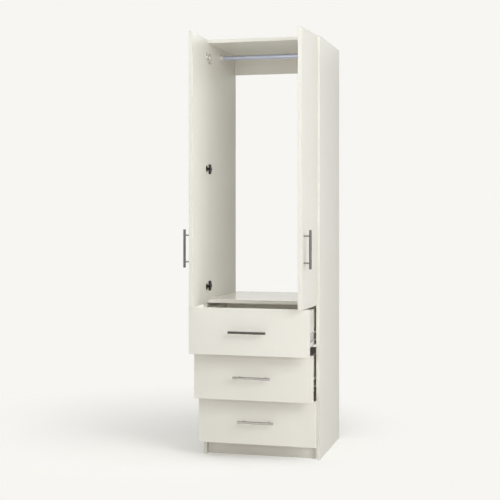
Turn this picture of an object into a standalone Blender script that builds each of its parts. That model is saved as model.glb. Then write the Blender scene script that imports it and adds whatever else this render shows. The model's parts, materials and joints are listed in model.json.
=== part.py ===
"""A wardrobe with two doors over three drawers.

Metres, +Z up, the front towards -Y. The origin is on the floor, in the middle of the
plinth's underside. Every moving piece is built shut and hangs on an empty that stands on
its joint's axis, and the empty is then turned or drawn out to where the piece rests.
"""
import math

import bmesh
import bpy
from mathutils import Matrix, Vector

# Carcass
WIDTH = 0.600
DEPTH = 0.550
HEIGHT = 2.100
BOARD = 0.018
EDGE_ROUNDING = 0.0008
SEAM = 0.0003
PLINTH_HEIGHT = 0.078
PLINTH_RECESS = 0.0325
SHELF_UNDERSIDE = 0.766
BACK_RAIL_HEIGHT = 0.100

# Hanging rail
RAIL_RADIUS = 0.0125
RAIL_DROP = 0.0445
RAIL_SETBACK = 0.250
SOCKET_FLANGE_RADIUS = 0.023
SOCKET_FLANGE_THICKNESS = 0.004
SOCKET_COLLAR_RADIUS = 0.016
SOCKET_COLLAR_LENGTH = 0.012

# Doors
DOOR_REVEAL = 0.0015
DOOR_GAP = 0.0025
DOOR_MIDDLE_GAP = 0.003
DOOR_TOP_GAP = 0.002
DOOR_FOOT_OVER_SHELF_UNDERSIDE = 0.002
DOOR_HANDLE_FROM_EDGE = 0.040
DOOR_HANDLE_HEIGHT = 0.283
LEFT_DOOR_OPEN = math.radians(87.5)
RIGHT_DOOR_OPEN = math.radians(86.5)

# Door hinges: inward and outward are measured from the side panel's inner face
HINGE_OVER_DOOR_FOOT = 0.0815
HINGE_UNDER_DOOR_HEAD = 0.090
HINGE_LIFT_OVER_MIDWAY = 0.01575
PIVOT_OUTWARD = 0.009
PIVOT_BEHIND_DOOR_BACK = 0.018
CUP_INWARD = 0.0055
CUP_BORE_RADIUS = 0.0175
CUP_POCKET_RADIUS = 0.0156
CUP_POCKET_DEPTH = 0.0116
CUP_FLOOR = 0.001
CUP_FLANGE = 0.001
CUP_WING_LENGTH = 0.052
CUP_WING_WIDTH = 0.015
HINGE_PIN_INWARD = 0.0164
HINGE_PIN_FORWARD = 0.0057
HINGE_PIN_RADIUS = 0.0013
HINGE_PIN_HEAD = 0.0005
ARM_WIDTH = 0.012
ARM_NOSE_RADIUS = 0.0031
ARM_NOSE_LENGTH = 0.009
ARM_FRONT_HEIGHT = 0.0175
ARM_REAR_HEIGHT = 0.008
ARM_SLOPE_FRONT = 0.012
ARM_SLOPE_REAR = 0.048
ARM_REAR = 0.066
PLATE_THICKNESS = 0.004
PLATE_FRONT = 0.024
PLATE_LENGTH = 0.044
PLATE_WIDTH = 0.022
PLATE_WING_SPAN = 0.050
PLATE_WING_LENGTH = 0.036
LINK_WIDTH = 0.0074
LINK_STEEL = 0.002
LINK_EYE_RADIUS = 0.0027
LINK_TOE_RADIUS = 0.0018
LINK_KNEE_OUTWARD = 0.0169
LINK_KNEE_FORWARD = 0.0065
LINK_TOE_OUTWARD = 0.0203
LINK_TOE_FORWARD = 0.0021
LINK_TURN_SHARE = 0.57

# Drawers, and how far each stands open
TOP_DRAWER_PULL = 0.2292
MIDDLE_DRAWER_PULL = 0.1443
BOTTOM_DRAWER_PULL = 0.0659
FRONT_GAP = 0.003
FRONT_REVEAL = 0.0015
FRONT_STANDOFF = 0.002
BOX_BOARD = 0.016
BOX_LENGTH = 0.505
BOX_FOOT_OVER_FRONT_FOOT = 0.0275
BOX_TOP_UNDER_FRONT_TOP = 0.020
BOX_BOTTOM = 0.005
BOX_GROOVE_HEIGHT = 0.010
BOX_GROOVE_DEPTH = 0.008

# Ball bearing slides
SLIDE_SPACE = 0.013
SLIDE_LENGTH = 0.500
SLIDE_SETBACK = 0.003
SLIDE_STEEL = 0.0012
SLIDE_HEIGHT = 0.045
SLIDE_FIXED_REACH = 0.0095
SLIDE_MOVING_REACH = 0.0107
SLIDE_RUNNING_GAP = 0.0004
SLIDE_OVER_FRONT_FOOT = 0.077

# T bar handles
BAR_RADIUS = 0.006
BAR_LENGTH = 0.185
BAR_REACH = 0.033
POST_RADIUS = 0.004
POST_SPACING = 0.128

# Cutters run past what they cut by the overrun, and points closer than the weld are one
OVERRUN = 0.004
WELD = 0.00001

# Faces round a full turn, and the colours, roughness and metallic value of each finish
ROUND_SIDES = 32
SMALL_ROUND_SIDES = 16
IVORY_BOARD = ((0.80, 0.78, 0.71), 0.45, 0.0)
IVORY_HARDBOARD = ((0.72, 0.70, 0.64), 0.60, 0.0)
CHROMED_TUBE = ((0.72, 0.73, 0.75), 0.12, 1.0)
BRUSHED_STEEL = ((0.30, 0.29, 0.29), 0.32, 1.0)
NICKELLED_STEEL = ((0.50, 0.49, 0.47), 0.25, 1.0)
BLACK_STEEL = ((0.03, 0.03, 0.03), 0.40, 0.6)
ZINC_STEEL = ((0.42, 0.42, 0.40), 0.35, 1.0)

# Heights and depths that several pieces share
FRONT = -(PLINTH_RECESS + BOARD / 2)
BACK = FRONT + DEPTH
INNER = WIDTH / 2 - BOARD
TOP_UNDERSIDE = HEIGHT - BOARD
SHELF_TOP = SHELF_UNDERSIDE + BOARD
DOOR_FOOT = SHELF_UNDERSIDE + DOOR_FOOT_OVER_SHELF_UNDERSIDE
DOOR_HEAD = HEIGHT - DOOR_TOP_GAP
LOW_HINGE = DOOR_FOOT + HINGE_OVER_DOOR_FOOT
HIGH_HINGE = DOOR_HEAD - HINGE_UNDER_DOOR_HEAD
HINGE_HEIGHTS = (LOW_HINGE, (LOW_HINGE + HIGH_HINGE) / 2 + HINGE_LIFT_OVER_MIDWAY, HIGH_HINGE)
DRAWER_PULLS = (TOP_DRAWER_PULL, MIDDLE_DRAWER_PULL, BOTTOM_DRAWER_PULL)
FRONT_HEIGHT = (DOOR_FOOT - FRONT_GAP * len(DRAWER_PULLS) - PLINTH_HEIGHT) / len(DRAWER_PULLS)
FRONT_BACK = FRONT - FRONT_STANDOFF
FRONT_FACE = FRONT_BACK - BOARD
BOX_SIDE = INNER - SLIDE_SPACE
BOX_BACK = FRONT_BACK + BOX_LENGTH
PLATE_TOP = BOARD + SEAM + PLATE_THICKNESS


def collection(name):
    group = bpy.data.collections.new(name)
    bpy.context.scene.collection.children.link(group)
    return group


for old in list(bpy.data.objects):
    bpy.data.objects.remove(old)
PIECES = collection("wardrobe")
CUTTERS = collection("wardrobe_cutters")


def axis_empty(name, place):
    """An empty on a joint's axis, standing where the joint is shut."""
    empty = bpy.data.objects.new(name, None)
    empty.location = place
    PIECES.objects.link(empty)
    return empty


def piece(name, mesh, place, carrier, turn=(0, 0, 0)):
    """An object placed where it is when shut, and carried by an empty if it has one."""
    item = bpy.data.objects.new(name, mesh)
    item.location = place
    item.rotation_euler = turn
    PIECES.objects.link(item)
    if carrier is not None:
        item.parent = carrier
        item.matrix_parent_inverse = Matrix.Translation(-carrier.location)
    return item


def block(name, corner, opposite, carrier=None):
    """A box between two opposite corners."""
    corner, opposite = Vector(corner), Vector(opposite)
    mesh = bpy.data.meshes.new(name)
    form = bmesh.new()
    bmesh.ops.create_cube(form, size=1)
    bmesh.ops.scale(form, vec=[abs(a - b) for a, b in zip(corner, opposite)], verts=form.verts)
    form.to_mesh(mesh)
    form.free()
    return piece(name, mesh, (corner + opposite) / 2, carrier)


def rod(name, radius, start, end, carrier=None, sides=ROUND_SIDES):
    """A round bar from one point to another."""
    start, end = Vector(start), Vector(end)
    mesh = bpy.data.meshes.new(name)
    form = bmesh.new()
    bmesh.ops.create_cone(
        form, cap_ends=True, segments=sides, radius1=radius, radius2=radius,
        depth=(end - start).length)
    form.to_mesh(mesh)
    form.free()
    mesh.shade_smooth()
    mesh.set_sharp_from_angle(angle=math.radians(40))
    turn = (end - start).to_track_quat("Z", "Y").to_euler()
    return piece(name, mesh, (start + end) / 2, carrier, turn)


def arc(centre, radius, first, turned):
    """Points round a centre in the plan, from one angle on through the angle turned."""
    steps = max(2, round(SMALL_ROUND_SIDES * abs(turned) / math.tau))
    angles = [first + turned * step / steps for step in range(steps + 1)]
    return [centre + radius * Vector((math.cos(angle), math.sin(angle))) for angle in angles]


def flat_outline(name, outline, low, high, carrier=None):
    """An outline seen from above, extruded between two heights and made a mesh."""
    curve = bpy.data.curves.new(name, "CURVE")
    curve.dimensions = "2D"
    curve.fill_mode = "BOTH"
    curve.extrude = (high - low) / 2
    spline = curve.splines.new("POLY")
    spline.points.add(len(outline[1:]))
    for point, (x, y) in zip(spline.points, outline):
        point.co = (x, y, 0, 1)
    spline.use_cyclic_u = True
    drawn = bpy.data.objects.new(name, curve)
    PIECES.objects.link(drawn)
    view = bpy.context.evaluated_depsgraph_get()
    mesh = bpy.data.meshes.new_from_object(drawn.evaluated_get(view))
    bpy.data.objects.remove(drawn)
    form = bmesh.new()
    form.from_mesh(mesh)
    bmesh.ops.remove_doubles(form, verts=form.verts, dist=WELD)
    bmesh.ops.recalc_face_normals(form, faces=form.faces)
    form.to_mesh(mesh)
    form.free()
    return piece(name, mesh, (0, 0, (low + high) / 2), carrier)


def join_or_cut(target, tool, operation):
    CUTTERS.objects.link(tool)
    PIECES.objects.unlink(tool)
    tool.hide_render = True
    tool.display_type = "WIRE"
    step = target.modifiers.new(tool.name, "BOOLEAN")
    step.operation = operation
    step.solver = "EXACT"
    step.object = tool


def add(target, *tools):
    for tool in tools:
        join_or_cut(target, tool, "UNION")


def cut(target, *tools):
    for tool in tools:
        join_or_cut(target, tool, "DIFFERENCE")


def finish(item, look):
    """Give a piece a material of its own."""
    colour, roughness, metallic = look
    material = bpy.data.materials.new(item.name)
    material.use_nodes = True
    material.diffuse_color = (*colour, 1)
    shader = material.node_tree.nodes["Principled BSDF"]
    shader.inputs["Base Color"].default_value = (*colour, 1)
    shader.inputs["Roughness"].default_value = roughness
    shader.inputs["Metallic"].default_value = metallic
    item.data.materials.append(material)
    return item


def board(name, corner, opposite, carrier=None, look=IVORY_BOARD):
    """A sawn board whose edges are banded and lightly rounded."""
    item = block(name, corner, opposite, carrier)
    rounding = item.modifiers.new("banded_edges", "BEVEL")
    rounding.width = EDGE_ROUNDING
    rounding.segments = 1
    return finish(item, look)


def on_side(side, inward, back, height=0):
    """A place measured from the carcass's front corner on the left (-1) or right (1)."""
    return Vector((side * (WIDTH / 2 - inward), FRONT + back, height))


def side_name(side):
    return "left" if side < 0 else "right"


def carcass():
    """Side panels on the floor, with the other boards screwed between them."""
    for side in (-1, 1):
        board("side_" + side_name(side), on_side(side, 0, 0), on_side(side, BOARD, DEPTH, HEIGHT))
    reach = INNER - SEAM
    board("top_panel", (-reach, FRONT, TOP_UNDERSIDE), (reach, BACK, HEIGHT))
    board("fixed_shelf", (-reach, FRONT, SHELF_UNDERSIDE), (reach, BACK, SHELF_TOP))
    board("bottom_panel", (-reach, FRONT, PLINTH_HEIGHT), (reach, BACK, PLINTH_HEIGHT + BOARD))
    plinth_face = FRONT + PLINTH_RECESS
    board("plinth", (-reach, plinth_face, 0), (reach, plinth_face + BOARD, PLINTH_HEIGHT - SEAM))
    rail_head = TOP_UNDERSIDE - SEAM
    board("back_rail", (-reach, BACK - BOARD, rail_head - BACK_RAIL_HEIGHT), (reach, BACK, rail_head))


def hanging_rail():
    """A chromed tube that ends in two round sockets, turned in one piece."""
    half = INNER - SEAM
    flange = half - SOCKET_FLANGE_THICKNESS
    collar = flange - SOCKET_COLLAR_LENGTH
    end = [
        (0, half),
        (SOCKET_FLANGE_RADIUS, half),
        (SOCKET_FLANGE_RADIUS, flange),
        (SOCKET_COLLAR_RADIUS, flange),
        (SOCKET_COLLAR_RADIUS, collar),
        (RAIL_RADIUS, collar),
    ]
    profile = end + [(radius, -height) for radius, height in reversed(end)]
    mesh = bpy.data.meshes.new("hanging_rail")
    form = bmesh.new()
    points = [form.verts.new((radius, 0, height)) for radius, height in profile]
    for first, second in zip(points, points[1:]):
        form.edges.new((first, second))
    form.to_mesh(mesh)
    form.free()
    place = (0, FRONT + RAIL_SETBACK, TOP_UNDERSIDE - RAIL_DROP)
    rail = piece("hanging_rail", mesh, place, None, (0, math.radians(90), 0))
    turning = rail.modifiers.new("turned", "SCREW")
    turning.steps = turning.render_steps = ROUND_SIDES
    turning.use_merge_vertices = True
    turning.merge_threshold = WELD
    turning.use_smooth_shade = True
    finish(rail, CHROMED_TUBE)


def handle(name, middle, along, carrier):
    """A round bar on two posts, in front of the face that the middle point lies on."""
    out = Vector((0, -BAR_REACH, 0))
    half = Vector(along) * BAR_LENGTH / 2
    bar = rod(name, BAR_RADIUS, middle + out - half, middle + out + half, carrier)
    seat = Vector((0, -SEAM, 0))
    for end in (-1, 1):
        foot = middle + Vector(along) * end * POST_SPACING / 2
        add(bar, rod(name + "_post", POST_RADIUS, foot + seat, foot + out, carrier))
    finish(bar, BRUSHED_STEEL)


def door(side, carrier):
    """A door, its three cup bores and its handle, all carried by the door's axis."""
    name = "door_" + side_name(side)
    free_edge = WIDTH / 2 - DOOR_MIDDLE_GAP / 2
    panel = board(
        name,
        on_side(side, DOOR_REVEAL, -DOOR_GAP, DOOR_FOOT),
        on_side(side, free_edge, -DOOR_GAP - BOARD, DOOR_HEAD),
        carrier)
    bore_depth = CUP_POCKET_DEPTH + CUP_FLOOR + SEAM
    for height in HINGE_HEIGHTS:
        mouth = on_side(side, BOARD + CUP_INWARD, -DOOR_GAP, height)
        bore = rod(
            name + "_cup_bore", CUP_BORE_RADIUS,
            mouth + Vector((0, OVERRUN, 0)), mouth - Vector((0, bore_depth, 0)), carrier)
        cut(panel, bore)
    grip = on_side(
        side, free_edge - DOOR_HANDLE_FROM_EDGE, -DOOR_GAP - BOARD, DOOR_FOOT + DOOR_HANDLE_HEIGHT)
    handle("door_handle_" + side_name(side), grip, (0, 0, 1), carrier)


def hinge_look(height):
    """The top hinge is bright nickel, and the two below it are black."""
    return NICKELLED_STEEL if height == HIGH_HINGE else BLACK_STEEL


def hinge_cup(name, side, height, carrier):
    """The pressed cup in the door's bore, with the two wings that screw to the door."""
    mouth = on_side(side, BOARD + CUP_INWARD, -DOOR_GAP, height)
    face = mouth + Vector((0, CUP_FLANGE, 0))
    inside = mouth - Vector((0, CUP_POCKET_DEPTH, 0))
    cup = rod(name, CUP_BORE_RADIUS - SEAM, face, inside - Vector((0, CUP_FLOOR, 0)), carrier)
    wing = Vector((CUP_WING_WIDTH / 2, 0, CUP_WING_LENGTH / 2))
    add(cup, block(name + "_wings", face - wing, mouth + Vector((0, SEAM, 0)) + wing, carrier))
    cut(cup, rod(name + "_pocket", CUP_POCKET_RADIUS, face + Vector((0, OVERRUN, 0)), inside, carrier))
    finish(cup, hinge_look(height))


def hinge_arm(name, side, height):
    """The arm and its mounting plate, screwed to the side panel, with the link's pin."""
    pin = Vector((BOARD + HINGE_PIN_INWARD, -HINGE_PIN_FORWARD))
    nose_back = ARM_NOSE_LENGTH - HINGE_PIN_FORWARD
    top = BOARD + SEAM + ARM_FRONT_HEIGHT
    outline = [
        (PLATE_TOP - PLATE_THICKNESS / 2, nose_back),
        (PLATE_TOP - PLATE_THICKNESS / 2, ARM_REAR),
        (PLATE_TOP + ARM_REAR_HEIGHT, ARM_REAR),
        (PLATE_TOP + ARM_REAR_HEIGHT, ARM_SLOPE_REAR),
        (top, ARM_SLOPE_FRONT),
    ]
    outline += arc(pin, ARM_NOSE_RADIUS, 0, -math.pi)
    outline.append((pin.x - ARM_NOSE_RADIUS, nose_back))
    seen = [on_side(side, inward, back).xy for inward, back in outline]
    half = ARM_WIDTH / 2
    arm = flat_outline(name, seen, height - half, height + half)
    screwed = PLATE_FRONT + PLATE_LENGTH / 2
    for part, length, width in (
            ("_plate", PLATE_LENGTH, PLATE_WIDTH), ("_wings", PLATE_WING_LENGTH, PLATE_WING_SPAN)):
        low = on_side(side, BOARD + SEAM, screwed - length / 2, height - width / 2)
        high = on_side(side, PLATE_TOP, screwed + length / 2, height + width / 2)
        add(arm, block(name + part, low, high))
    slot = LINK_WIDTH / 2 + SEAM
    cut(arm, block(
        name + "_slot",
        on_side(side, pin.x - ARM_NOSE_RADIUS - OVERRUN, pin.y - ARM_NOSE_RADIUS - OVERRUN, height - slot),
        on_side(side, pin.x + ARM_NOSE_RADIUS + OVERRUN, pin.y + ARM_NOSE_RADIUS + SEAM, height + slot)))
    end = Vector((0, 0, half + HINGE_PIN_HEAD))
    axis = on_side(side, *pin, height)
    add(arm, rod(name + "_pin", HINGE_PIN_RADIUS, axis - end, axis + end, None, SMALL_ROUND_SIDES))
    finish(arm, hinge_look(height))


def hinge_link(name, side, height, carrier):
    """The cranked link: its eye turns on the arm's pin and its toe lies free in the cup."""
    pin = on_side(side, BOARD + HINGE_PIN_INWARD, -HINGE_PIN_FORWARD, height)
    eye = pin.xy
    knee = eye + Vector((side * LINK_KNEE_OUTWARD, -LINK_KNEE_FORWARD))
    toe = eye + Vector((side * LINK_TOE_OUTWARD, -LINK_TOE_FORWARD))
    first = math.atan2(*reversed(knee - eye))
    second = math.atan2(*reversed(toe - knee))
    bend = (second - first + math.pi) % math.tau - math.pi
    outer = math.copysign(math.pi / 2, -bend)
    steel = LINK_STEEL / 2
    eye_leave = math.asin(steel / LINK_EYE_RADIUS)
    toe_leave = math.asin(steel / LINK_TOE_RADIUS)
    inner_corner = knee + steel / math.cos(bend / 2) * Vector(
        (math.cos(first + bend / 2 - outer), math.sin(first + bend / 2 - outer)))
    turn = math.copysign(1, bend)
    outline = arc(knee, steel, first + outer, bend)
    outline += arc(
        toe, LINK_TOE_RADIUS, second + math.pi + turn * toe_leave, turn * (math.tau - 2 * toe_leave))
    outline.append(inner_corner)
    outline += arc(eye, LINK_EYE_RADIUS, first + turn * eye_leave, turn * (math.tau - 2 * eye_leave))
    half = LINK_WIDTH / 2
    link = flat_outline(name, outline, height - half, height + half, carrier)
    past = Vector((0, 0, half + OVERRUN))
    cut(link, rod(
        name + "_eye", HINGE_PIN_RADIUS + SEAM, pin - past, pin + past, carrier, SMALL_ROUND_SIDES))
    finish(link, NICKELLED_STEEL)


def doors(side, open_angle):
    """One door with its hinges. The door turns one way and the links turn the other."""
    name = side_name(side)
    door_axis = axis_empty(
        "door_axis_" + name, on_side(side, BOARD - PIVOT_OUTWARD, -DOOR_GAP - PIVOT_BEHIND_DOOR_BACK))
    link_axis = axis_empty(
        "link_axis_" + name, on_side(side, BOARD + HINGE_PIN_INWARD, -HINGE_PIN_FORWARD))
    door(side, door_axis)
    for number, height in enumerate(HINGE_HEIGHTS, 1):
        hinge_cup(f"hinge_cup_{name}_{number}", side, height, door_axis)
        hinge_arm(f"hinge_arm_{name}_{number}", side, height)
        hinge_link(f"hinge_link_{name}_{number}", side, height, link_axis)
    door_axis.rotation_euler.z = side * open_angle
    link_axis.rotation_euler.z = -side * open_angle * LINK_TURN_SHARE


def slide(side, number, height, carrier):
    """A slide's member on the side panel, and the member inside it on the drawer box."""
    half = SLIDE_HEIGHT / 2
    name = f"slide_fixed_{side_name(side)}_{number}"
    start, end = SLIDE_SETBACK, SLIDE_SETBACK + SLIDE_LENGTH
    web = BOARD + SEAM + SLIDE_STEEL
    fixed = block(
        name,
        on_side(side, BOARD + SEAM, start, height - half),
        on_side(side, BOARD + SLIDE_FIXED_REACH, end, height + half))
    inside = half - SLIDE_STEEL
    cut(fixed, block(
        name + "_channel",
        on_side(side, web, start - OVERRUN, height - inside),
        on_side(side, BOARD + SLIDE_FIXED_REACH + OVERRUN, end + OVERRUN, height + inside)))
    finish(fixed, ZINC_STEEL)
    name = f"slide_moving_{side_name(side)}_{number}"
    seat = BOARD + SLIDE_SPACE - SEAM
    half = inside - SLIDE_RUNNING_GAP
    moving = block(
        name,
        on_side(side, seat - SLIDE_MOVING_REACH, start, height - half),
        on_side(side, seat, end, height + half), carrier)
    inside = half - SLIDE_STEEL
    cut(moving, block(
        name + "_channel",
        on_side(side, seat - SLIDE_MOVING_REACH - OVERRUN, start - OVERRUN, height - inside),
        on_side(side, seat - SLIDE_STEEL, end + OVERRUN, height + inside), carrier))
    finish(moving, ZINC_STEEL)


def drawer(number, pull):
    """A box of four boards and a bottom in grooves, behind a front with a handle."""
    foot = PLINTH_HEIGHT + (len(DRAWER_PULLS) - number) * (FRONT_HEIGHT + FRONT_GAP)
    head = foot + FRONT_HEIGHT
    carrier = axis_empty(f"drawer_run_{number}", (0, FRONT, foot))
    half_front = WIDTH / 2 - FRONT_REVEAL
    board(
        f"drawer_front_{number}",
        (-half_front, FRONT_FACE, foot), (half_front, FRONT_BACK, head), carrier)
    box_foot = foot + BOX_FOOT_OVER_FRONT_FOOT
    box_head = head - BOX_TOP_UNDER_FRONT_TOP
    box_front = FRONT_BACK + SEAM
    groove = box_foot + BOX_GROOVE_HEIGHT
    inner = BOX_SIDE - BOX_BOARD
    groove_reach = inner + BOX_GROOVE_DEPTH
    for side in (-1, 1):
        panel = board(
            f"drawer_side_{side_name(side)}_{number}",
            (side * BOX_SIDE, box_front, box_foot), (side * inner, BOX_BACK, box_head), carrier)
        cut(panel, block(
            f"drawer_groove_{side_name(side)}_{number}",
            (side * groove_reach, box_front - OVERRUN, groove),
            (side * (inner - OVERRUN), BOX_BACK + OVERRUN, groove + BOX_BOTTOM), carrier))
        slide(side, number, foot + SLIDE_OVER_FRONT_FOOT, carrier)
    sheet = groove_reach - SEAM
    board(
        f"drawer_bottom_{number}",
        (-sheet, box_front, groove + SEAM), (sheet, BOX_BACK, groove + BOX_BOTTOM - SEAM),
        carrier, IVORY_HARDBOARD)
    board(
        f"drawer_back_{number}",
        (-(inner - SEAM), BOX_BACK - BOX_BOARD, groove + BOX_BOTTOM),
        (inner - SEAM, BOX_BACK, box_head), carrier)
    middle = Vector((0, FRONT_FACE, (foot + head) / 2))
    handle(f"drawer_handle_{number}", middle, (1, 0, 0), carrier)
    carrier.location.y -= pull


carcass()
hanging_rail()
doors(-1, LEFT_DOOR_OPEN)
doors(1, RIGHT_DOOR_OPEN)
for number, pull in enumerate(DRAWER_PULLS, 1):
    drawer(number, pull)
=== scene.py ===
import json
import math

import bmesh
import bpy
from mathutils import Matrix, Vector


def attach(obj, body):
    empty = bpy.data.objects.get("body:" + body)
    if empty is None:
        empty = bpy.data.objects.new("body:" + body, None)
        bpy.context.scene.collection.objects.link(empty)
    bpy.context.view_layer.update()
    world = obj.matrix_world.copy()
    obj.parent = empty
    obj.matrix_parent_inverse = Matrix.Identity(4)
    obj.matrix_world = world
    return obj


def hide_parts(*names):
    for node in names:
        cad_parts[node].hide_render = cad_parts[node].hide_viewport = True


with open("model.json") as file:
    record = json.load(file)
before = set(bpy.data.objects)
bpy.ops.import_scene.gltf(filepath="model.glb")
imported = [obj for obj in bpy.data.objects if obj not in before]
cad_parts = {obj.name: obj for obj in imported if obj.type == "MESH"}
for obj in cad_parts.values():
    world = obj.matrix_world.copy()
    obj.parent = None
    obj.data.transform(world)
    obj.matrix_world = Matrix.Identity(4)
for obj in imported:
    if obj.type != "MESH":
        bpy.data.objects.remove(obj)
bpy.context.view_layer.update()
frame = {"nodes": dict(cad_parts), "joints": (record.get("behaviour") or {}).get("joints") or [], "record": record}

nodes, joints = frame["nodes"], frame["joints"]


# The studio: one pale seamless floor, with soft lamps on every side, the strongest in front
# and to the right, and a camera a little to the right, at the height of a person's chest. The
# room beyond the floor is a pale warm white.
def linear(hex_colour):
    """An sRGB hex value as linear red, green, blue and an alpha of one."""
    channels = [int(hex_colour[i:i + 2], 16) / 255 for i in (1, 3, 5)]
    return [c / 12.92 if c <= 0.04045 else ((c + 0.055) / 1.055) ** 2.4 for c in channels] + [1]


def add(tree, kind, inputs=None, **settings):
    """Add a node with its settings; inputs are values or the sockets that feed them."""
    made = tree.nodes.new("ShaderNode" + kind)
    for name, value in settings.items():
        setattr(made, name, value)
    for name, value in (inputs or {}).items():
        if isinstance(value, bpy.types.NodeSocket):
            tree.links.new(value, made.inputs[name])
        else:
            made.inputs[name].default_value = value
    return made


def material(name):
    """An empty node material, its tree and its output."""
    made = bpy.data.materials.new(name)
    made.use_nodes = True
    made.node_tree.nodes.clear()
    return made, made.node_tree, made.node_tree.nodes.new("ShaderNodeOutputMaterial")


# The lens and the sensor are in millimetres, and the shift is a share of the picture.
CAMERA_PLACE = (1.3496, -5.4097, 1.2548)
CAMERA_TURN = math.radians(14.674)
LENS = 79.556
SENSOR = 36
FRAME_SHIFT = -0.08726

scene = bpy.context.scene
scene.view_settings.view_transform = "Standard"
lens = bpy.data.cameras.new("studio_camera")
lens.lens, lens.sensor_width, lens.shift_y = LENS, SENSOR, FRAME_SHIFT
camera = bpy.data.objects.new("studio_camera", lens)
camera.location = CAMERA_PLACE
camera.rotation_euler = (math.pi / 2, 0, CAMERA_TURN)
scene.collection.objects.link(camera)
scene.camera = camera


def seen_by_eye(tree):
    """One where the eye, a reflection or a clear thing looks, and nought for falling light."""
    path = add(tree, "LightPath").outputs
    seen = add(tree, "Math", {
        0: path["Is Camera Ray"], 1: path["Is Glossy Ray"]}, operation="MAXIMUM")
    return add(tree, "Math", {
        0: seen.outputs[0], 1: path["Is Transmission Ray"]}, operation="MAXIMUM")


ROOM_WHITE = linear("#F7F6F2")
SKY_STRENGTH = 0.1
world = bpy.data.worlds.new("studio_room")
scene.world = world
world.use_nodes = True
tree = world.node_tree
tree.nodes.clear()
sky = add(tree, "Background", {"Color": linear("#FFFFFF"), "Strength": SKY_STRENGTH})
backdrop = add(tree, "Background", {"Color": ROOM_WHITE, "Strength": 1})
mix = add(tree, "MixShader", {
    0: seen_by_eye(tree).outputs[0], 1: sky.outputs[0], 2: backdrop.outputs[0]})
add(tree, "OutputWorld", {"Surface": mix.outputs[0]})


def lamp(name, place, target, size, power):
    """A white rectangular soft lamp that faces a point, with its power in watts."""
    light = bpy.data.lights.new(name, "AREA")
    light.shape, light.size, light.size_y = "RECTANGLE", *size
    light.energy = power
    item = bpy.data.objects.new(name, light)
    item.location = place
    item.rotation_euler = (Vector(target) - Vector(place)).to_track_quat("-Z", "Y").to_euler()
    scene.collection.objects.link(item)


lamp("key_lamp", (2.1, -2.3, 2.2), (0, 0, 0.9), (1, 1.2), 27)
lamp("right_lamp", (3.2, -1.6, 1.6), (0, 0, 1), (2, 2.6), 46)
lamp("front_lamp", (0.6, -5.6, 1.3), (0, 0, 1), (2.6, 2.2), 58)
lamp("top_lamp", (0, -0.6, 4), (0, 0, 1), (2, 2), 32)
lamp("upper_front_lamp", (0.3, -2.2, 3.6), (0, 0, 0.9), (2, 1.4), 8)
lamp("left_lamp", (-3, -2.6, 1.6), (0, 0, 1), (2, 2.4), 13)
lamp("rear_lamp", (0, 2.6, 2.9), (0, 0, 0.9), (1.8, 1.2), 12)
lamp("rear_left_lamp", (-2.8, 1.9, 1.9), (0, 0.2, 0.9), (1.6, 2), 19)

FLOOR_RADIUS = 6.0
floor_mesh = bpy.data.meshes.new("studio_floor")
form = bmesh.new()
bmesh.ops.create_circle(form, cap_ends=True, segments=96, radius=FLOOR_RADIUS)
form.to_mesh(floor_mesh)
form.free()
floor = bpy.data.objects.new("studio_floor", floor_mesh)
scene.collection.objects.link(floor)
paint, tree, out = material("floor_paint")
# The eye sees the floor as the room's white, less what the object's own shadow takes away.
# The bare floor's light from the lamps is two broad pools, and the glow makes up the rest,
# and dims where the object shuts out the side that most of the light comes from.
FLOOR_WHITE = linear("#F4F2EC")
POOL_BASE = -1.45
# The middle of each pool, its spread and its peak.
POOLS = (((2.996, -2.928, 0), 3.736, 1.906), ((-3.531, 2.707, 0), 8.537, 1.648))
# Round the middle of the shadow the drawn floor is whole as far as the near distance, and
# from the far one on it has given way to the room's white.
SHADOW_MIDDLE, SHADOW_NEAR, SHADOW_FAR = (-0.7, 0.65, 0), 0.75, 1.5
SHADOW_REACH = 1.25
KEY_WAY = (0.68, -0.75, 0.2)
place = add(tree, "TexCoord").outputs["Object"]
matt = add(tree, "BsdfDiffuse", {"Color": FLOOR_WHITE})
pool = POOL_BASE
for middle, spread, peak in POOLS:
    away = add(tree, "VectorMath", {0: place, 1: middle}, operation="DISTANCE")
    share = add(tree, "Math", {0: away.outputs["Value"], 1: spread}, operation="DIVIDE")
    fall = add(tree, "Math", {
        0: share.outputs[0], 1: share.outputs[0], 2: 1}, operation="MULTIPLY_ADD")
    rise = add(tree, "Math", {0: peak, 1: fall.outputs[0]}, operation="DIVIDE")
    pool = add(tree, "Math", {0: rise.outputs[0], 1: pool}, operation="ADD").outputs[0]
lit = add(tree, "VectorMath", {0: FLOOR_WHITE[:3], "Scale": pool}, operation="SCALE")
rest = add(tree, "VectorMath", {0: ROOM_WHITE[:3], 1: lit.outputs[0]}, operation="SUBTRACT")
toward_lamps = add(tree, "VectorMath", {0: KEY_WAY}, operation="NORMALIZE")
shut_out = add(tree, "AmbientOcclusion", {
    "Color": rest.outputs[0], "Distance": SHADOW_REACH,
    "Normal": toward_lamps.outputs[0]}, samples=16)
made_up = add(tree, "Emission", {"Color": shut_out.outputs["Color"], "Strength": 1})
shaded = add(tree, "AddShader", {0: matt.outputs[0], 1: made_up.outputs[0]})
plain = add(tree, "Emission", {"Color": ROOM_WHITE, "Strength": 1})
reach = add(tree, "VectorMath", {0: place, 1: SHADOW_MIDDLE}, operation="DISTANCE")
thin = add(tree, "MapRange", {
    "Value": reach.outputs["Value"], "From Min": SHADOW_NEAR, "From Max": SHADOW_FAR},
    interpolation_type="SMOOTHSTEP")
eye = add(tree, "MixShader", {0: thin.outputs[0], 1: shaded.outputs[0], 2: plain.outputs[0]})
whole = add(tree, "MixShader", {
    0: seen_by_eye(tree).outputs[0], 1: matt.outputs[0], 2: eye.outputs[0]})
tree.links.new(whole.outputs[0], out.inputs["Surface"])
floor_mesh.materials.append(paint)


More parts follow.
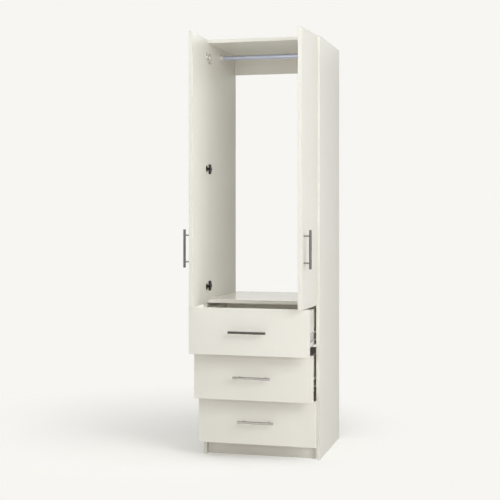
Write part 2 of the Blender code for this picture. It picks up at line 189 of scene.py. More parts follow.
# The carcass boards, the doors and the drawer boxes: particle board faced with ivory
# melamine, a satin, slightly pearled film. Edges that show are banded in ivory PVC, and the
# rear edges and the feet are left sawn, where the brown chips show.
def opened(body):
    """The move that carries a body from where it is shut to where it rests."""
    for joint in joints:
        if joint["child"] != body:
            continue
        axis = Vector(joint["axis"])
        if joint["type"] == "slide":
            return Matrix.Translation(-joint["range_m"][0] * axis)
        couplings = frame["record"]["behaviour"]["couplings"]
        follow = [c for c in couplings if c["joint"] == joint["name"]]
        lead, ratio = joint, 1
        if follow:
            lead = next(j for j in joints if j["name"] == follow[0]["follows"])
            ratio = follow[0]["ratio"]
        turn = Matrix.Rotation(-math.radians(lead["range_deg"][0]) * ratio, 4, axis)
        place = Matrix.Translation(joint["pos_m"])
        return place @ turn @ place.inverted()
    return Matrix.Identity(4)


def body_of(name):
    """The body that a CAD node belongs to."""
    members = frame["record"]["behaviour"]["bodies"]
    return next(body for body in members if name in members[body])


def shut_box(name):
    """The lowest and highest corners of a CAD node where it is shut."""
    shut = opened(body_of(name)).inverted()
    corners = [shut @ v.co for v in nodes[name].data.vertices]
    return Vector(map(min, *corners)), Vector(map(max, *corners))


def shut_place(tree, body):
    """Where a point of a CAD node is when the node is shut, for patterns that go with it."""
    shut = opened(body).inverted()
    coordinates = add(tree, "TexCoord")
    return add(tree, "Mapping", {
        "Vector": coordinates.outputs["Object"],
        "Location": shut.to_translation(), "Rotation": shut.to_euler()}).outputs[0]


# The band is 0.8 mm thick. The glue line beside it is a tenth of that, drawn wider to show.
BAND = 0.0008
GLUE_LINE = 0.0002
# The pearl of the film is about 0.1 mm across, drawn at 3 mm so that it can show at all, and
# its tone drifts over a hand's breadth or two.
PEARL = 0.003
CLOUD = 0.220
# Chips are 1 to 4 mm long, and a sawn edge shows them to a fifth of a millimetre deep.
CHIP = 0.003
SAWN_SKIN = 0.0002


def chipboard(tree, place):
    """Sawn particle board: brown chips of several shades, pressed flat."""
    chips = add(tree, "TexVoronoi", {"Vector": place, "Scale": 1 / CHIP}, feature="F1")
    shade = add(tree, "SeparateColor", {0: chips.outputs["Color"]})
    wood = add(tree, "Mix", {
        0: shade.outputs[0], 6: linear("#A98657"), 7: linear("#D0B384")}, data_type="RGBA")
    gaps = add(tree, "MapRange", {
        "Value": chips.outputs["Distance"], "From Min": 0.35, "From Max": 0.75})
    return add(tree, "Mix", {
        0: gaps.outputs[0], 6: wood.outputs[2], 7: linear("#7A5B38")}, data_type="RGBA").outputs[2]


def melamine(name, sawn, smooth, matt, gloss):
    """Board faced with a satin film of melamine, pale and slightly pearled.

    Each unbanded edge in sawn is an axis and a direction along it.
    """
    low, high = shut_box(name)
    size = high - low
    thin = min(range(3), key=lambda i: size[i])
    board, tree, out = material("melamine_" + name)
    place = shut_place(tree, body_of(name))
    from_middle = add(tree, "VectorMath", {0: place, 1: (low + high) / 2}, operation="SUBTRACT")
    away = add(tree, "VectorMath", {0: from_middle.outputs[0]}, operation="ABSOLUTE")
    inside = add(tree, "VectorMath", {0: size / 2, 1: away.outputs[0]}, operation="SUBTRACT")
    axes = add(tree, "SeparateXYZ", {0: inside.outputs[0]})
    flat = [i for i in range(3) if i != thin]
    edge = add(tree, "Math", {
        0: axes.outputs[flat[0]], 1: axes.outputs[flat[1]]}, operation="MINIMUM")
    band = add(tree, "Math", {0: edge.outputs[0], 1: BAND}, operation="LESS_THAN")
    seam = add(tree, "Math", {0: edge.outputs[0], 1: BAND, 2: GLUE_LINE}, operation="COMPARE")
    cloud = add(tree, "TexNoise", {
        "Vector": place, "Scale": 1 / CLOUD, "Detail": 3, "Roughness": 0.5})
    film = add(tree, "MapRange", {
        "Value": cloud.outputs["Fac"], "From Min": 0.3, "From Max": 0.7})
    face = add(tree, "Mix", {
        0: film.outputs[0], 6: linear("#EEECE3"), 7: linear("#F1EFE7")}, data_type="RGBA")
    edged = add(tree, "Mix", {
        0: band.outputs[0], 6: face.outputs[2], 7: linear("#F0EEE5")}, data_type="RGBA")
    colour = add(tree, "Mix", {
        0: seam.outputs[0], 6: edged.outputs[2], 7: linear("#D9D5C8")}, data_type="RGBA").outputs[2]
    satin = add(tree, "MapRange", {
        "Value": cloud.outputs["Fac"], "From Min": 0.3, "From Max": 0.7,
        "To Min": smooth, "To Max": matt})
    roughness = satin.outputs[0]
    chips = chipboard(tree, place) if sawn else None
    signed = add(tree, "SeparateXYZ", {0: from_middle.outputs[0]})
    for axis, way in sawn:
        reach = add(tree, "Math", {0: signed.outputs[axis], 1: way}, operation="MULTIPLY")
        bare = add(tree, "Math", {
            0: reach.outputs[0], 1: size[axis] / 2 - SAWN_SKIN}, operation="GREATER_THAN")
        colour = add(tree, "Mix", {
            0: bare.outputs[0], 6: colour, 7: chips}, data_type="RGBA").outputs[2]
        roughness = add(tree, "Mix", {0: bare.outputs[0], 2: roughness, 3: 0.9}).outputs[0]
    grain = add(tree, "TexNoise", {"Vector": place, "Scale": 1 / PEARL, "Detail": 2})
    pearl = add(tree, "Bump", {
        "Height": grain.outputs["Fac"], "Strength": 0.04, "Distance": 0.0004})
    shader = add(tree, "BsdfPrincipled", {
        "Base Color": colour, "Roughness": roughness, "Normal": pearl.outputs[0], "IOR": 1.5,
        "Specular IOR Level": gloss})
    tree.links.new(shader.outputs[0], out.inputs["Surface"])
    return board


# The least and most roughness of the film, and its gloss. The shelf is wiped and slid on,
# and has worn smoother.
SATIN, WORN_SATIN = (0.38, 0.46, 0.3), (0.16, 0.2, 0.5)
REAR, FOOT = (1, 1), (2, -1)
SAWN_EDGES = {
    "side_": (REAR, FOOT), "top_panel": (REAR,), "fixed_shelf": (REAR,), "bottom_panel": (REAR,),
    "plinth": (FOOT,), "back_rail": (), "door_left": (), "door_right": (), "drawer_front": (),
    "drawer_side": (REAR, FOOT), "drawer_back": (FOOT,)}

for start, sawn in SAWN_EDGES.items():
    for name in nodes:
        if name.startswith(start):
            nodes[name].data.materials.clear()
            satin = WORN_SATIN if name == "fixed_shelf" else SATIN
            nodes[name].data.materials.append(melamine(name, sawn, *satin))


# The drawer bottoms: 5 mm hardboard that slides into the grooves of the box. Its top is
# rolled with a thin ivory lacquer and its underside is left as brown pressed fibre.

# The fibres are a quarter of a millimetre thick, drawn ten times as coarse to show.
FIBRE = 0.0025


def hardboard(name):
    """Lacquered hardboard, smooth and pale above and brown below."""
    board, tree, out = material("lacquered_hardboard_" + name)
    place = shut_place(tree, body_of(name))
    fibres = add(tree, "TexNoise", {
        "Vector": place, "Scale": 1 / FIBRE, "Detail": 4, "Roughness": 0.7})
    pressed = add(tree, "Mix", {
        0: fibres.outputs["Fac"], 6: linear("#6B4A2C"), 7: linear("#9A7247")}, data_type="RGBA")
    lacquer = add(tree, "Mix", {
        0: fibres.outputs["Fac"], 6: linear("#E2DED2"), 7: linear("#EAE7DD")}, data_type="RGBA")
    facing = add(tree, "NewGeometry")
    upward = add(tree, "SeparateXYZ", {0: facing.outputs["Normal"]})
    top = add(tree, "Math", {0: upward.outputs[2], 1: 0.5}, operation="GREATER_THAN")
    colour = add(tree, "Mix", {
        0: top.outputs[0], 6: pressed.outputs[2], 7: lacquer.outputs[2]}, data_type="RGBA")
    rough = add(tree, "MapRange", {"Value": top.outputs[0], "To Min": 0.85, "To Max": 0.5})
    relief = add(tree, "Bump", {
        "Height": fibres.outputs["Fac"], "Strength": 0.15, "Distance": 0.0003})
    shader = add(tree, "BsdfPrincipled", {
        "Base Color": colour.outputs[2], "Roughness": rough.outputs[0],
        "Normal": relief.outputs[0]})
    tree.links.new(shader.outputs[0], out.inputs["Surface"])
    return board


for name in nodes:
    if name.startswith("drawer_bottom"):
        nodes[name].data.materials.clear()
        nodes[name].data.materials.append(hardboard(name))


# The hanging rail: a 25 mm steel tube, brushed and then chromed to a satin finish, held at
# each end in a die-cast socket that three countersunk screws fix to the side panel.
def rounded(corners, radii, steps=5, closed=False):
    """The points of a path with each corner rounded to its own radius."""
    corners = [Vector(corner) for corner in corners]
    points = []
    for i, (corner, radius) in enumerate(zip(corners, radii)):
        if not radius or not closed and i in (0, len(corners) - 1):
            points.append(corner)
            continue
        before = (corners[i - 1] - corner).normalized()
        after = (corners[(i + 1) % len(corners)] - corner).normalized()
        half = before.angle(after) / 2
        centre = corner + (before + after).normalized() * radius / math.sin(half)
        first = corner + before * radius / math.tan(half) - centre
        last = corner + after * radius / math.tan(half) - centre
        start = math.atan2(first.y, first.x)
        swing = (math.atan2(last.y, last.x) - start + math.pi) % math.tau - math.pi
        for step in range(steps + 1):
            angle = start + swing * step / steps
            points.append(centre + radius * Vector((math.cos(angle), math.sin(angle))))
    return points


def turned(form, profile, place, sides=40):
    """Add a turned shape from points of radius and height, and give its last ring."""
    rings = []
    for radius, height in profile:
        angles = [math.tau * i / sides for i in range(sides)] if radius else [0]
        rings.append([
            form.verts.new(place @ Vector((radius * math.cos(a), radius * math.sin(a), height)))
            for a in angles])
    for lower, upper in zip(rings, rings[1:]):
        for i in range(sides):
            corners = (
                lower[i % len(lower)], lower[(i + 1) % len(lower)],
                upper[(i + 1) % len(upper)], upper[i % len(upper)])
            form.faces.new(list(dict.fromkeys(corners)))
    return rings[-1]


# A cross recess is this many times as wide as half of each of its bars, and it tapers down
# to this share of its mouth.
CROSS_TO_BAR = 7
CROSS_TAPER = 0.6


def screw(form, place, head, recess, depth):
    """Add a cross-headed screw: its turned head, and the recess sunk in the flat on top."""
    height = head[-1][1]
    rim = turned(form, head, place, sides=24)
    arm, bar = recess / 2, recess / CROSS_TO_BAR
    quarter = [Vector(point) for point in ((arm, -bar), (arm, bar), (bar, bar))]
    quarters = [Matrix.Rotation(math.pi / 2 * i, 2) for i in range(4)]
    cross = [turn @ point for turn in quarters for point in quarter]
    mouth = [form.verts.new(place @ Vector((x, y, height))) for x, y in cross]
    foot = [
        form.verts.new(place @ Vector((x * CROSS_TAPER, y * CROSS_TAPER, height - depth)))
        for x, y in cross]
    pairs = [(loop[i - 1], loop[i]) for loop in (rim, mouth) for i in range(len(loop))]
    edges = [form.edges.get(pair) or form.edges.new(pair) for pair in pairs]
    bmesh.ops.triangle_fill(form, edges=edges, use_beauty=True)
    for i in range(len(mouth)):
        form.faces.new((mouth[i - 1], mouth[i], foot[i], foot[i - 1]))
    form.faces.new(foot)


def aimed(place, outward):
    """A place for a turned shape, whose own upward way points outward."""
    turn = Vector(outward).to_track_quat("Z", "Y").to_matrix().to_4x4()
    return Matrix.Translation(place) @ turn


SHARP_ANGLE = math.radians(35)


def fitted(name, form, body, look, finish, *stands_for):
    """Make a piece of a form built where it is shut, and let it rest and ride with its body."""
    mesh = bpy.data.meshes.new(name)
    bmesh.ops.recalc_face_normals(form, faces=form.faces)
    form.to_mesh(mesh)
    form.free()
    mesh.shade_smooth()
    mesh.set_sharp_from_angle(angle=SHARP_ANGLE)
    mesh.materials.append(look)
    item = bpy.data.objects.new(name, mesh)
    item.matrix_world = opened(body)
    scene.collection.objects.link(item)
    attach(item, body)
    if stands_for:
        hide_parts(*stands_for)
    return item


# A smudge from a hand is about 30 mm across.
SMUDGE = 0.030


def chrome():
    """Satin chromium over nickel: soft and smudged, with no clear reflections, and a painted reflection of the
    room in its lavender blue tint.
    """
    made, tree, out = material("chromed_steel")
    place = add(tree, "TexCoord").outputs["Object"]
    smudges = add(tree, "TexNoise", {
        "Vector": place, "Scale": 1 / SMUDGE, "Detail": 4, "Roughness": 0.6})
    rough = add(tree, "MapRange", {
        "Value": smudges.outputs["Fac"], "From Min": 0.4, "From Max": 0.7,
        "To Min": 0.56, "To Max": 0.62})
    # The lavender blue of the tint is a painted reflection of the room, and the smudges vary it a little.
    tint = add(tree, "Mix", {
        0: smudges.outputs["Fac"], 6: linear("#CDD2E3"), 7: linear("#D2D7E7")}, data_type="RGBA")
    shader = add(tree, "BsdfPrincipled", {
        "Base Color": tint.outputs[2], "Metallic": 1, "Roughness": rough.outputs[0]})
    tree.links.new(shader.outputs[0], out.inputs["Surface"])
    return made


# The skin of the casting is about 0.2 mm coarse, drawn ten times as coarse to show.
CASTING = 0.002


def die_cast():
    """Die-cast zinc, tumbled and lacquered clear: pale and matt, with a fine cast skin."""
    made, tree, out = material("lacquered_die_cast_zinc")
    place = add(tree, "TexCoord").outputs["Object"]
    skin = add(tree, "TexNoise", {"Vector": place, "Scale": 1 / CASTING, "Detail": 3})
    tint = add(tree, "Mix", {
        0: skin.outputs["Fac"], 6: linear("#DFDEDA"), 7: linear("#ECEBE7")}, data_type="RGBA")
    relief = add(tree, "Bump", {
        "Height": skin.outputs["Fac"], "Strength": 0.12, "Distance": 0.0002})
    shader = add(tree, "BsdfPrincipled", {
        "Base Color": tint.outputs[2], "Metallic": 0.4, "Roughness": 0.4,
        "Normal": relief.outputs[0]})
    tree.links.new(shader.outputs[0], out.inputs["Surface"])
    return made


TUBE_RADIUS, TUBE_WALL = 0.0125, 0.001
SOCKET_FLANGE_RADIUS, SOCKET_FLANGE = 0.023, 0.004
SOCKET_COLLAR_RADIUS, SOCKET_COLLAR = 0.016, 0.012
# How much each corner is rounded, from the rim of the flange to the mouth of the collar.
SOCKET_ROUNDINGS = [0, 0.0014, 0.0012, 0.0012, 0.0006, 0]
SOCKET_SCREWS_ACROSS = 0.0195
# Each screw head is given as radii and heights, and its recess by its width and depth.
SOCKET_SCREW_HEAD = [(0.0021, -0.0006), (0.0022, 0), (0.0020, 0.0002), (0.0015, 0.0003)]
SOCKET_SCREW_RECESS = 0.0022, 0.0006
PANEL_GAP = 0.0003

chromed = chrome()
pale_casting = die_cast()
low, high = shut_box("hanging_rail")
middle = (low + high) / 2
form = bmesh.new()
half = (high.x - low.x) / 2 - SOCKET_FLANGE
bore = TUBE_RADIUS - TUBE_WALL
profile = rounded(
    [(bore, -half), (TUBE_RADIUS, -half), (TUBE_RADIUS, half), (bore, half)],
    [0, TUBE_WALL / 3, TUBE_WALL / 3, 0])
turned(form, profile, aimed(middle, (1, 0, 0)), sides=64)
fitted("rail_tube", form, "carcass", chromed, "rail_chrome", "hanging_rail")
for side, way in (("left", 1), ("right", -1)):
    seat = Vector((low.x if side == "left" else high.x, middle.y, middle.z))
    form = bmesh.new()
    foot, lip = SOCKET_FLANGE, SOCKET_FLANGE + SOCKET_COLLAR
    mouth = TUBE_RADIUS + PANEL_GAP
    profile = rounded(
        [(SOCKET_FLANGE_RADIUS, 0), (SOCKET_FLANGE_RADIUS, foot), (SOCKET_COLLAR_RADIUS, foot),
         (SOCKET_COLLAR_RADIUS, lip), (mouth, lip), (mouth, lip - foot)],
        SOCKET_ROUNDINGS)
    turned(form, profile, aimed(seat, (way, 0, 0)), sides=64)
    fitted(f"rail_socket_{side}", form, "carcass", pale_casting, "rail_chrome", "hanging_rail")
    form = bmesh.new()
    for turn in range(3):
        angle = math.pi / 2 + math.tau * turn / 3
        across = SOCKET_SCREWS_ACROSS * Vector((0, math.cos(angle), math.sin(angle)))
        place = aimed(seat + across + Vector((way * foot, 0, 0)), (way, 0, 0))
        screw(form, place, SOCKET_SCREW_HEAD, *SOCKET_SCREW_RECESS)
    fitted(f"rail_screws_{side}", form, "carcass", chromed, "rail_chrome")


# The door hinges: a pressed steel cup let into the door, and a cranked arm on a plate that
# is screwed to the side panel. The top one is bright nickel and the lower two are black.
def drawn(form, outline, place, low, high):
    """Add a solid of one outline, drawn from one height to another."""
    ends = [[form.verts.new(place @ Vector((x, y, z))) for x, y in outline] for z in (low, high)]
    for end in ends:
        form.faces.new(end)
    for i in range(len(outline)):
        form.faces.new((ends[0][i - 1], ends[0][i], ends[1][i], ends[1][i - 1]))


def softened(form, width, least=30):
    """Round the sharp edges of a form a little, as pressing and plating leave them."""
    bmesh.ops.recalc_face_normals(form, faces=form.faces)
    sharp = [
        edge for edge in form.edges
        if edge.is_manifold and math.degrees(edge.calc_face_angle(0)) > least]
    bmesh.ops.bevel(
        form, geom=sharp, offset=width, segments=2, profile=0.6, affect="EDGES",
        clamp_overlap=True)


# The lines that rolls leave are some hundredths of a millimetre wide, drawn at 4 mm to show.
ROLLING = 0.004


def nickel(name, dull, bright):
    """Nickel plate over pressed steel: warm, with the faint lines of the rolled sheet."""
    made, tree, out = material(name)
    place = add(tree, "TexCoord").outputs["Object"]
    along = add(tree, "Mapping", {"Vector": place, "Scale": (1, 0.1, 1)})
    lines = add(tree, "TexNoise", {
        "Vector": along.outputs[0], "Scale": 1 / ROLLING, "Detail": 3})
    tint = add(tree, "Mix", {
        0: lines.outputs["Fac"], 6: linear(dull), 7: linear(bright)}, data_type="RGBA")
    rough = add(tree, "MapRange", {
        "Value": lines.outputs["Fac"], "To Min": 0.16, "To Max": 0.32})
    shader = add(tree, "BsdfPrincipled", {
        "Base Color": tint.outputs[2], "Metallic": 1, "Roughness": rough.outputs[0]})
    tree.links.new(shader.outputs[0], out.inputs["Surface"])
    return made


# The lacquer's skin ripples over about half a millimetre, drawn at 1.5 mm to show.
LACQUER_SKIN = 0.0015


def black_steel():
    """Black lacquer baked on pressed steel: near black, with a fine skin and little gloss."""
    made, tree, out = material("black_lacquered_steel")
    place = add(tree, "TexCoord").outputs["Object"]
    skin = add(tree, "TexNoise", {"Vector": place, "Scale": 1 / LACQUER_SKIN, "Detail": 2})
    tint = add(tree, "Mix", {
        0: skin.outputs["Fac"], 6: linear("#080807"), 7: linear("#111110")}, data_type="RGBA")
    rough = add(tree, "MapRange", {
        "Value": skin.outputs["Fac"], "To Min": 0.36, "To Max": 0.5})
    orange_peel = add(tree, "Bump", {
        "Height": skin.outputs["Fac"], "Strength": 0.1, "Distance": 0.0002})
    shader = add(tree, "BsdfPrincipled", {
        "Base Color": tint.outputs[2], "Roughness": rough.outputs[0],
        "Normal": orange_peel.outputs[0], "Specular IOR Level": 0.2})
    tree.links.new(shader.outputs[0], out.inputs["Surface"])
    return made


def from_corner(side, inward, back, height):
    """A place measured from the carcass's front corner on the left (-1) or right (1)."""
    low, high = shut_box("side_right")
    return Vector((side * (high.x - inward), low.y + back, height))


CUP_RADIUS, CUP_POCKET_RADIUS = 0.0172, 0.0156
CUP_DEPTH, CUP_STEEL = 0.0116, 0.001
# How much each corner is rounded, from the middle of the pocket out and round to the back.
CUP_ROUNDINGS = [0, 0.0025, 0.0005, 0.0005, 0.003, 0]
WING_HALF, WING_REACH, WING_ROUND = 0.0075, 0.026, 0.0055
WING_ROOT_STEPS = 4
WING_SCREW_REACH = 0.0215
WING_SCREW_HEAD = [(0.0027, 0.0004), (0.0031, 0.0009), (0.0030, 0.0012), (0.0021, 0.0013)]
WING_SCREW_RECESS = 0.0032, 0.0007


def hinge_cup(name, plating, plating_slot, wing_plating):
    """The pressed cup with a wing above and below, each held by a countersunk screw."""
    low, high = shut_box(name)
    place = aimed(((low.x + high.x) / 2, high.y - CUP_STEEL, (low.z + high.z) / 2), (0, 1, 0))
    form = bmesh.new()
    pocket, back = -CUP_DEPTH, -CUP_DEPTH - CUP_STEEL
    profile = rounded(
        [(0, pocket), (CUP_POCKET_RADIUS, pocket), (CUP_POCKET_RADIUS, CUP_STEEL),
         (CUP_RADIUS, CUP_STEEL), (CUP_RADIUS, back), (0, back)],
        CUP_ROUNDINGS)
    turned(form, profile, place, sides=56)
    fitted(name + "_pressing", form, body_of(name), plating, plating_slot, name)
    form = bmesh.new()
    hug = CUP_RADIUS - CUP_STEEL / 2
    spread = math.asin(WING_HALF / hug)
    steps = range(-WING_ROOT_STEPS, WING_ROOT_STEPS + 1)
    angles = [spread * step / WING_ROOT_STEPS for step in steps]
    root = [hug * Vector((math.sin(angle), math.cos(angle))) for angle in angles]
    tip = rounded(
        [(WING_HALF, hug), (WING_HALF, WING_REACH), (-WING_HALF, WING_REACH), (-WING_HALF, hug)],
        [0, WING_ROUND, WING_ROUND, 0])[1:-1]
    for end in (-1, 1):
        drawn(form, [end * point for point in root + tip], place, PANEL_GAP, CUP_STEEL)
    softened(form, CUP_STEEL / 5)
    fitted(name + "_wings", form, body_of(name), wing_plating, "hinge_nickel", name)
    form = bmesh.new()
    for end in (-1, 1):
        seat = place @ Matrix.Translation((0, end * WING_SCREW_REACH, 0))
        screw(form, seat, WING_SCREW_HEAD, *WING_SCREW_RECESS)
    fitted(name + "_screws", form, body_of(name), wing_plating, "hinge_nickel")


# The sizes of the arm and its plate run inward from the outer face of the side panel, and
# back from its front edge, and each half is half of a height.
PIN_INWARD, PIN_FORWARD = 0.0344, 0.0057
PIN_RADIUS, PIN_ROUNDING, PIN_PROUD = 0.0013, 0.0004, 0.0005
NOSE_RADIUS, NOSE_ROOT, NOSE_INSET = 0.0031, 0.001, 0.0005
ARM_HALF, SLOT_HALF = 0.006, 0.004
ARM_HIGH, ARM_LOW, ARM_REAR = 0.0358, 0.0264, 0.064
ARM_THROAT, ARM_OVERHANG = 0.0033, 0.0012
ARM_ROUNDINGS = [0, 0, 0.006, 0.006, 0.002, 0, 0, 0.001]
SLOPE_FRONT, SLOPE_REAR = 0.012, 0.048
PLATE_FOOT, PLATE_HEAD, PLATE_WING = 0.0183, 0.0223, 0.0207
SADDLE_FRONT, SADDLE_REAR, SADDLE_HALF, SADDLE_CORNER = 0.024, 0.070, 0.0155, 0.003
PLATE_WING_FRONT, PLATE_WING_REAR, PLATE_WING_HALF, PLATE_CORNER = 0.028, 0.068, 0.025, 0.004
ARM_SOFTNESS, PLATE_SOFTNESS = 0.0006, 0.0005
PLATE_SCREW_REACH, ARM_SCREW_BACK = 0.0185, 0.056
PLATE_SCREW_HEAD = rounded([(0.0036, 0), (0.0036, 0.0012), (0.0018, 0.0018)], [0, 0.0008, 0])
PLATE_SCREW_RECESS = 0.0034, 0.0009
# The grub screw that sets the door's overlay stands this share of the way down the slope.
GRUB_SCREW_SHARE = 0.36
GRUB_SCREW_HEAD = [(0.0029, -0.0006), (0.0029, 0.0002), (0.0026, 0.0004), (0.0019, 0.0004)]
GRUB_SCREW_RECESS = 0.0034, 0.0007


def hinge_arm(name, side, plating, plate_plating, plating_slot):
    """The arm, its eye and pin at the front, and the winged plate that carries it."""
    low, high = shut_box(name)
    height = (low.z + high.z) / 2
    corner = from_corner(side, 0, 0, height)
    plan = Matrix.Translation(corner) @ Matrix.Diagonal((-side, 1, 1, 1))
    form = bmesh.new()
    start = -PIN_FORWARD + NOSE_RADIUS + PANEL_GAP
    nose = PIN_INWARD - NOSE_RADIUS
    body = rounded(
        [(nose, start), (ARM_HIGH + ARM_OVERHANG, start), (ARM_HIGH, SLOPE_FRONT),
         (ARM_LOW, SLOPE_REAR), (ARM_LOW, ARM_REAR), (PLATE_HEAD, ARM_REAR),
         (PLATE_HEAD, ARM_THROAT), (nose, ARM_THROAT)],
        ARM_ROUNDINGS, closed=True)
    drawn(form, body, plan, -ARM_HALF, ARM_HALF)
    eye = [
        Vector((PIN_INWARD, -PIN_FORWARD)) + NOSE_RADIUS * Vector((math.cos(a), math.sin(a)))
        for a in (-math.pi * step / 8 for step in range(9))]
    root = start + NOSE_ROOT
    eye += [Vector((nose, root)), Vector((PIN_INWARD + NOSE_RADIUS - NOSE_INSET, root))]
    for end in (-1, 1):
        drawn(form, eye, plan, end * SLOT_HALF, end * ARM_HALF)
    flat = Matrix.Translation(corner) @ Matrix((
        (0, 0, -side, 0), (1, 0, 0, 0), (0, 1, 0, 0), (0, 0, 0, 1)))
    drawn(form, rounded(
        [(SADDLE_FRONT, -SADDLE_HALF), (SADDLE_REAR, -SADDLE_HALF),
         (SADDLE_REAR, SADDLE_HALF), (SADDLE_FRONT, SADDLE_HALF)],
        [SADDLE_CORNER] * 4, closed=True), flat, PLATE_WING, PLATE_HEAD)
    softened(form, ARM_SOFTNESS)
    fitted(name + "_channel", form, "carcass", plating, plating_slot, name)
    form = bmesh.new()
    drawn(form, rounded(
        [(PLATE_WING_FRONT, -PLATE_WING_HALF), (PLATE_WING_REAR, -PLATE_WING_HALF),
         (PLATE_WING_REAR, PLATE_WING_HALF), (PLATE_WING_FRONT, PLATE_WING_HALF)],
        [PLATE_CORNER] * 4, closed=True), flat, PLATE_FOOT, PLATE_WING)
    softened(form, PLATE_SOFTNESS)
    fitted(name + "_plate", form, "carcass", plate_plating, plating_slot, name)
    form = bmesh.new()
    inward = (-side, 0, 0)
    middle = (PLATE_WING_FRONT + PLATE_WING_REAR) / 2
    for end in (-1, 1):
        seat = from_corner(side, PLATE_WING, middle, height + end * PLATE_SCREW_REACH)
        screw(form, aimed(seat, inward), PLATE_SCREW_HEAD, *PLATE_SCREW_RECESS)
    seat = from_corner(side, ARM_LOW, ARM_SCREW_BACK, height)
    screw(form, aimed(seat, inward), PLATE_SCREW_HEAD, *PLATE_SCREW_RECESS)
    slope = math.atan2(ARM_HIGH - ARM_LOW, SLOPE_REAR - SLOPE_FRONT)
    seat = from_corner(
        side, ARM_HIGH + (ARM_LOW - ARM_HIGH) * GRUB_SCREW_SHARE,
        SLOPE_FRONT + (SLOPE_REAR - SLOPE_FRONT) * GRUB_SCREW_SHARE, height)
    square_to_slope = (-side * math.cos(slope), math.sin(slope), 0)
    screw(form, aimed(seat, square_to_slope), GRUB_SCREW_HEAD, *GRUB_SCREW_RECESS)
    half = ARM_HALF + PIN_PROUD
    pin = rounded(
        [(0, -half), (PIN_RADIUS, -half), (PIN_RADIUS, half), (0, half)],
        [0, PIN_ROUNDING, PIN_ROUNDING, 0])
    seat = from_corner(side, PIN_INWARD, -PIN_FORWARD, height)
    turned(form, pin, aimed(seat, (0, 0, 1)), sides=20)
    fitted(name + "_screws", form, "carcass", plating, plating_slot)


bright_nickel = nickel("bright_nickelled_steel", "#DEDAD3", "#F1EEE8")
dull_nickel = nickel("dull_nickelled_steel", "#B4B0A9", "#C6C2BB")
blackened = black_steel()
for side, word in ((-1, "left"), (1, "right")):
    for number in (1, 2, 3):
        plating, plate_plating, plating_slot = blackened, blackened, "hinge_black"
        if number == 3:
            plating, plate_plating, plating_slot = bright_nickel, dull_nickel, "hinge_nickel"
        hinge_cup(f"hinge_cup_{word}_{number}", plating, plating_slot, bright_nickel)
        hinge_arm(f"hinge_arm_{word}_{number}", side, plating, plate_plating, plating_slot)
        link = nodes[f"hinge_link_{word}_{number}"]
        link.data.materials.clear()
        link.data.materials.append(plating)


# The handles: T bars of 12 mm stainless steel rod on two turned posts, each screwed from
# inside. The bar is brushed along its length and chamfered at its ends. The steel's tones
# are painted reflections: dark on the doors and the top drawer, pale on the lower two
# drawers, and a middle grey on the posts.

# Brush strokes are about 0.16 mm wide, drawn ten times as coarse to show.
BRUSH = 0.0016


def brushed_steel(name, along, dark, light, smooth, matt):
    """Brushed stainless steel: grey, and streaked along the axis that it was brushed in."""
    made, tree, out = material(name)
    place = add(tree, "TexCoord").outputs["Object"]
    stretch = [0.02 if i == along else 1 for i in range(3)]
    grain = add(tree, "Mapping", {"Vector": place, "Scale": stretch})
    strokes = add(tree, "TexNoise", {
        "Vector": grain.outputs[0], "Scale": 1 / BRUSH, "Detail": 4, "Roughness": 0.7})
    tint = add(tree, "Mix", {
        0: strokes.outputs["Fac"], 6: linear(dark), 7: linear(light)}, data_type="RGBA")
    rough = add(tree, "MapRange", {
        "Value": strokes.outputs["Fac"], "To Min": smooth, "To Max": matt})
    relief = add(tree, "Bump", {
        "Height": strokes.outputs["Fac"], "Strength": 0.12, "Distance": 0.0002})
    shader = add(tree, "BsdfPrincipled", {
        "Base Color": tint.outputs[2], "Metallic": 1, "Roughness": rough.outputs[0],
        "Normal": relief.outputs[0]})
    tree.links.new(shader.outputs[0], out.inputs["Surface"])
    return made


BAR_RADIUS, BAR_CHAMFER = 0.006, 0.0008
POST_RADIUS, POST_SPACING, POST_GROOVE = 0.004, 0.128, 0.0008


def handle(name, bar_steel, post_steel):
    """A bar on two posts, each with a thin groove round it where it meets the board."""
    low, high = shut_box(name)
    along = 2 if high.z - low.z > high.x - low.x else 0
    way = Vector([1 if i == along else 0 for i in range(3)])
    middle = (low + high) / 2
    middle.y = low.y + BAR_RADIUS
    half = (high[along] - low[along]) / 2
    form = bmesh.new()
    face = BAR_RADIUS - BAR_CHAMFER
    profile = [
        (0, -half), (face, -half), (BAR_RADIUS, -half + BAR_CHAMFER),
        (BAR_RADIUS, half - BAR_CHAMFER), (face, half), (0, half)]
    turned(form, profile, aimed(middle, way), sides=48)
    fitted(name + "_bar", form, body_of(name), bar_steel, "handle_steel", name)
    reach = high.y - middle.y
    groove = POST_RADIUS - POST_GROOVE / 2
    post = [
        (0, 0), (groove, 0), (POST_RADIUS, POST_GROOVE / 2), (POST_RADIUS, POST_GROOVE * 2),
        (groove, POST_GROOVE * 2), (groove, POST_GROOVE * 3),
        (POST_RADIUS, POST_GROOVE * 3), (POST_RADIUS, reach)]
    form = bmesh.new()
    for end in (-1, 1):
        foot = middle + way * end * POST_SPACING / 2
        foot.y = high.y
        turned(form, post, aimed(foot, (0, -1, 0)), sides=28)
    fitted(name + "_posts", form, body_of(name), post_steel, "handle_steel", name)


# The tones of these four steels are painted reflections: dark for the door bars and the top drawer's bar, pale for
# the two lower drawers' bars, and middle grey for the posts.
door_bar_steel_painted_dark = brushed_steel("steel_painted_dark_reflection_upright", 2, "#504D4C", "#6E6A68", 0.2, 0.34)
low_bars_steel_painted_pale = brushed_steel("steel_painted_pale_reflection_level", 0, "#AAA8A5", "#C2C0BD", 0.18, 0.3)
top_bar_steel_painted_dark = brushed_steel("steel_painted_dark_reflection_top_drawer", 0, "#4C4A47", "#64615E", 0.18, 0.3)
posts_steel_painted_reflection = brushed_steel("posts_steel_painted_reflection", 0, "#918E8D", "#ABA8A6", 0.16, 0.26)
